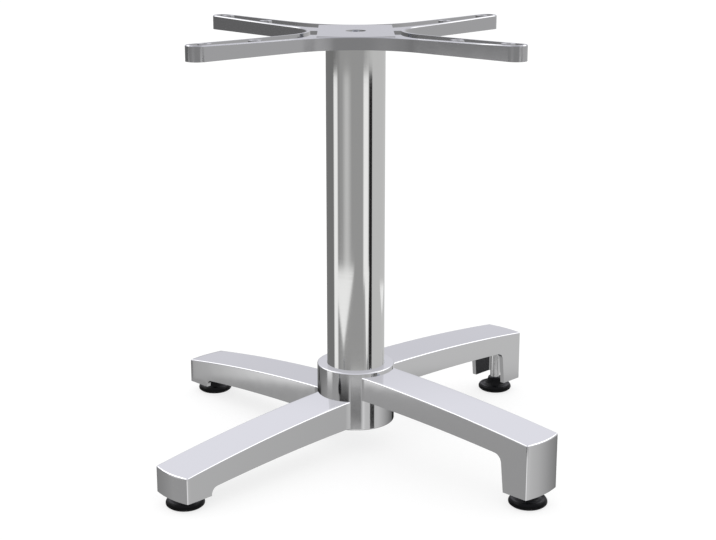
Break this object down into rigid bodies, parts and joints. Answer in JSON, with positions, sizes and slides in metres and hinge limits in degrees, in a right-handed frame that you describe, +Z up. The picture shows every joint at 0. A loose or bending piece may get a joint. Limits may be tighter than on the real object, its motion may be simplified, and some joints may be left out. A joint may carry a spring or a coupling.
{
  "type": "nesting table base",
  "caption": "Pedestal table base: round column on a hub with four box-section legs at two heights so that bases nest, a cross top plate and levelling glides.",
  "frame": {"origin": "on the floor, on the column's axis", "axes": "+Z up along the column; the two tall legs point to +X and the two low legs to -X; -Y is the front"},
  "size_m": [0.448, 0.448, 0.5115],
  "materials": {
    "polished_aluminium": "polished",
    "satin_aluminium": "satin",
    "chromed_steel": "polished",
    "zinc_plated_steel": "zinc plated",
    "black_gloss_plastic": "gloss"
  },
  "bodies": {
    "base": {"top_spider": "satin_aluminium", "column_tube": "chromed_steel", "base_hub": "polished_aluminium", "leg_screws": "zinc_plated_steel", "tie_rod": "zinc_plated_steel", "top_washer": "zinc_plated_steel", "top_nut": "zinc_plated_steel", "clamp_plate": "zinc_plated_steel", "bottom_nut": "zinc_plated_steel", "leg_front_right": "polished_aluminium", "leg_back_right": "polished_aluminium", "leg_front_left": "polished_aluminium", "leg_back_left": "polished_aluminium"},
    "glide_front_right": {"glide_foot_front_right": "black_gloss_plastic", "glide_stem_front_right": "zinc_plated_steel"},
    "glide_back_right": {"glide_foot_back_right": "black_gloss_plastic", "glide_stem_back_right": "zinc_plated_steel"},
    "glide_front_left": {"glide_foot_front_left": "black_gloss_plastic", "glide_stem_front_left": "zinc_plated_steel"},
    "glide_back_left": {"glide_foot_back_left": "black_gloss_plastic", "glide_stem_back_left": "zinc_plated_steel"}
  },
  "joints": [
    {"name": "level_front_right", "type": "slide", "parent": "base", "child": "glide_front_right", "axis": [0, 0, -1], "range_m": [0, 0.01]},
    {"name": "level_back_right", "type": "slide", "parent": "base", "child": "glide_back_right", "axis": [0, 0, -1], "range_m": [0, 0.01]},
    {"name": "level_front_left", "type": "slide", "parent": "base", "child": "glide_front_left", "axis": [0, 0, -1], "range_m": [0, 0.01]},
    {"name": "level_back_left", "type": "slide", "parent": "base", "child": "glide_back_left", "axis": [0, 0, -1], "range_m": [0, 0.01]}
  ]
}
